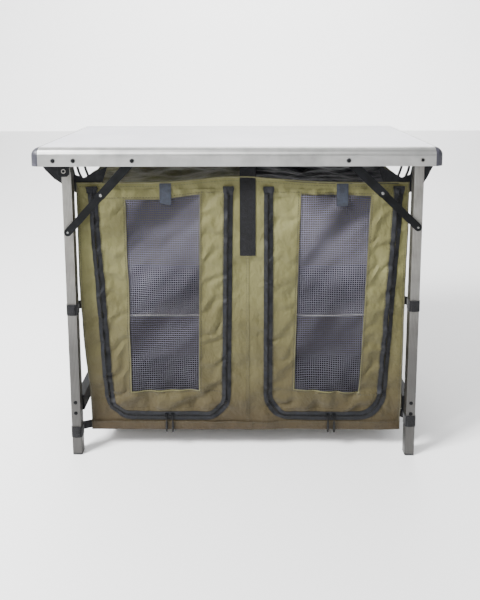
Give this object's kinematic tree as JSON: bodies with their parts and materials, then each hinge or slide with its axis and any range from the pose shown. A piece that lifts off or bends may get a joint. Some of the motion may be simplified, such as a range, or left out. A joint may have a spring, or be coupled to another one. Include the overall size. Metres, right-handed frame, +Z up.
{
  "type": "camp kitchen unit",
  "caption": "Folding camp kitchen table with a white top on folding aluminium leg frames and a hanging cloth cupboard with zipped roll-up doors and mesh windows.",
  "frame": {"origin": "on the floor, under the middle of the table top", "axes": "+X to the right of someone who faces the doors, -Y to the front where the doors are, +Z up"},
  "size_m": [1, 0.5024, 0.81],
  "materials": {
    "white_board": "white laminate on board, satin",
    "aluminium": "anodised, finely ribbed",
    "black_steel": "black powder coat",
    "grey_plastic": "moulded, dark grey",
    "black_plastic": "moulded, black",
    "olive_cloth": "coated plain-weave polyester, olive green",
    "shelf_cloth": "cloth over stiff board, light grey",
    "window_net": "open insect net, grey violet",
    "webbing": "black woven webbing"
  },
  "bodies": {
    "tabletop": {"tabletop_panel": "white_board", "front_rail": "aluminium", "back_rail": "aluminium", "left_end_rail": "aluminium", "right_end_rail": "aluminium", "left_front_cap": "grey_plastic", "left_back_cap": "grey_plastic", "right_front_cap": "grey_plastic", "right_back_cap": "grey_plastic", "front_bracket": "black_steel", "back_bracket": "black_steel", "cupboard_front": "olive_cloth", "cupboard_back": "olive_cloth", "cupboard_left_wall": "olive_cloth", "cupboard_right_wall": "olive_cloth", "cupboard_roof": "olive_cloth", "cupboard_floor": "olive_cloth", "cupboard_divider": "shelf_cloth"},
    "left_frame": {"left_front_leg": "aluminium", "left_back_leg": "aluminium", "left_front_foot": "black_plastic", "left_back_foot": "black_plastic", "left_cross_bar": "black_steel", "left_front_mid_band": "webbing", "left_front_low_band": "webbing", "left_back_mid_band": "webbing", "left_back_low_band": "webbing"},
    "right_frame": {"right_front_leg": "aluminium", "right_back_leg": "aluminium", "right_front_foot": "black_plastic", "right_back_foot": "black_plastic", "right_cross_bar": "black_steel", "right_front_mid_band": "webbing", "right_front_low_band": "webbing", "right_back_mid_band": "webbing", "right_back_low_band": "webbing"},
    "left_front_upper_brace": {"left_front_upper_link": "black_steel"},
    "left_front_lower_brace": {"left_front_lower_link": "black_steel"},
    "left_back_upper_brace": {"left_back_upper_link": "black_steel"},
    "left_back_lower_brace": {"left_back_lower_link": "black_steel"},
    "right_front_upper_brace": {"right_front_upper_link": "black_steel"},
    "right_front_lower_brace": {"right_front_lower_link": "black_steel"},
    "right_back_upper_brace": {"right_back_upper_link": "black_steel"},
    "right_back_lower_brace": {"right_back_lower_link": "black_steel"},
    "left_door": {"left_door_cloth": "olive_cloth", "left_window_net": "window_net", "left_door_hem": "olive_cloth"},
    "right_door": {"right_door_cloth": "olive_cloth", "right_window_net": "window_net", "right_door_hem": "olive_cloth"},
    "left_outer_slider_body": {"left_outer_slider": "black_steel"},
    "left_inner_slider_body": {"left_inner_slider": "black_steel"},
    "right_outer_slider_body": {"right_outer_slider": "black_steel"},
    "right_inner_slider_body": {"right_inner_slider": "black_steel"},
    "left_outer_pull_body": {"left_outer_pull": "black_steel"},
    "left_inner_pull_body": {"left_inner_pull": "black_steel"},
    "right_outer_pull_body": {"right_outer_pull": "black_steel"},
    "right_inner_pull_body": {"right_inner_pull": "black_steel"}
  },
  "joints": [
    {"name": "left_leg_fold", "type": "hinge", "parent": "tabletop", "child": "left_frame", "pos_m": [-0.4185, 0, 0.753], "axis": [0, -1, 0], "range_deg": [0, 90], "deforming": ["cupboard_left_wall"]},
    {"name": "right_leg_fold", "type": "hinge", "parent": "tabletop", "child": "right_frame", "pos_m": [0.4475, 0, 0.78], "axis": [0, 1, 0], "range_deg": [0, 90], "deforming": ["cupboard_right_wall", "cupboard_front", "cupboard_back", "cupboard_roof", "cupboard_floor", "cupboard_divider"]},
    {"name": "left_front_rail_pivot", "type": "hinge", "parent": "tabletop", "child": "left_front_upper_brace", "pos_m": [-0.2515, -0.2465, 0.779], "axis": [0, -1, 0], "range_deg": [0, 122.4]},
    {"name": "left_front_elbow", "type": "hinge", "parent": "left_front_upper_brace", "child": "left_front_lower_brace", "pos_m": [-0.33054, -0.2465, 0.69229], "axis": [0, -1, 0], "range_deg": [-168.4, 0]},
    {"name": "left_back_rail_pivot", "type": "hinge", "parent": "tabletop", "child": "left_back_upper_brace", "pos_m": [-0.2515, 0.2465, 0.779], "axis": [0, -1, 0], "range_deg": [0, 122.4]},
    {"name": "left_back_elbow", "type": "hinge", "parent": "left_back_upper_brace", "child": "left_back_lower_brace", "pos_m": [-0.33054, 0.2465, 0.69229], "axis": [0, -1, 0], "range_deg": [-168.4, 0]},
    {"name": "right_front_rail_pivot", "type": "hinge", "parent": "tabletop", "child": "right_front_upper_brace", "pos_m": [0.2705, -0.2465, 0.779], "axis": [0, 1, 0], "range_deg": [0, 126.1]},
    {"name": "right_front_elbow", "type": "hinge", "parent": "right_front_upper_brace", "child": "right_front_lower_brace", "pos_m": [0.35515, -0.2465, 0.6975], "axis": [0, 1, 0], "range_deg": [-180.8, 0]},
    {"name": "right_back_rail_pivot", "type": "hinge", "parent": "tabletop", "child": "right_back_upper_brace", "pos_m": [0.2705, 0.2465, 0.779], "axis": [0, 1, 0], "range_deg": [0, 126.1]},
    {"name": "right_back_elbow", "type": "hinge", "parent": "right_back_upper_brace", "child": "right_back_lower_brace", "pos_m": [0.35515, 0.2465, 0.6975], "axis": [0, 1, 0], "range_deg": [-180.8, 0]},
    {"name": "left_door_roll", "type": "slide", "parent": "tabletop", "child": "left_door", "axis": [0, 0, 1], "range_m": [0, 0.5], "deforming": ["left_door_cloth", "left_window_net"]},
    {"name": "right_door_roll", "type": "slide", "parent": "tabletop", "child": "right_door", "axis": [0, 0, 1], "range_m": [0, 0.5], "deforming": ["right_door_cloth", "right_window_net"]},
    {"name": "left_outer_zip", "type": "slide", "parent": "tabletop", "child": "left_outer_slider_body", "axis": [-1, 0, 0], "range_m": [0, 0.085]},
    {"name": "left_inner_zip", "type": "slide", "parent": "tabletop", "child": "left_inner_slider_body", "axis": [1, 0, 0], "range_m": [0, 0.078]},
    {"name": "right_outer_zip", "type": "slide", "parent": "tabletop", "child": "right_outer_slider_body", "axis": [1, 0, 0], "range_m": [0, 0.06]},
    {"name": "right_inner_zip", "type": "slide", "parent": "tabletop", "child": "right_inner_slider_body", "axis": [-1, 0, 0], "range_m": [0, 0.095]},
    {"name": "left_outer_pull_swing", "type": "hinge", "parent": "left_outer_slider_body", "child": "left_outer_pull_body", "pos_m": [-0.18614, -0.20615, 0.09275], "axis": [-1, 0, 0], "range_deg": [0, 90]},
    {"name": "left_inner_pull_swing", "type": "hinge", "parent": "left_inner_slider_body", "child": "left_inner_pull_body", "pos_m": [-0.17014, -0.20615, 0.09275], "axis": [-1, 0, 0], "range_deg": [0, 90]},
    {"name": "right_outer_pull_swing", "type": "hinge", "parent": "right_outer_slider_body", "child": "right_outer_pull_body", "pos_m": [0.25365, -0.20615, 0.09275], "axis": [-1, 0, 0], "range_deg": [0, 90]},
    {"name": "right_inner_pull_swing", "type": "hinge", "parent": "right_inner_slider_body", "child": "right_inner_pull_body", "pos_m": [0.23764, -0.20615, 0.09275], "axis": [-1, 0, 0], "range_deg": [0, 90]}
  ],
  "couplings": [
    {"joint": "left_front_rail_pivot", "follows": "left_leg_fold", "ratio": 1.3595},
    {"joint": "left_front_elbow", "follows": "left_leg_fold", "ratio": -1.8708},
    {"joint": "left_back_rail_pivot", "follows": "left_leg_fold", "ratio": 1.3595},
    {"joint": "left_back_elbow", "follows": "left_leg_fold", "ratio": -1.8708},
    {"joint": "right_front_rail_pivot", "follows": "right_leg_fold", "ratio": 1.4009},
    {"joint": "right_front_elbow", "follows": "right_leg_fold", "ratio": -2.0084},
    {"joint": "right_back_rail_pivot", "follows": "right_leg_fold", "ratio": 1.4009},
    {"joint": "right_back_elbow", "follows": "right_leg_fold", "ratio": -2.0084}
  ]
}
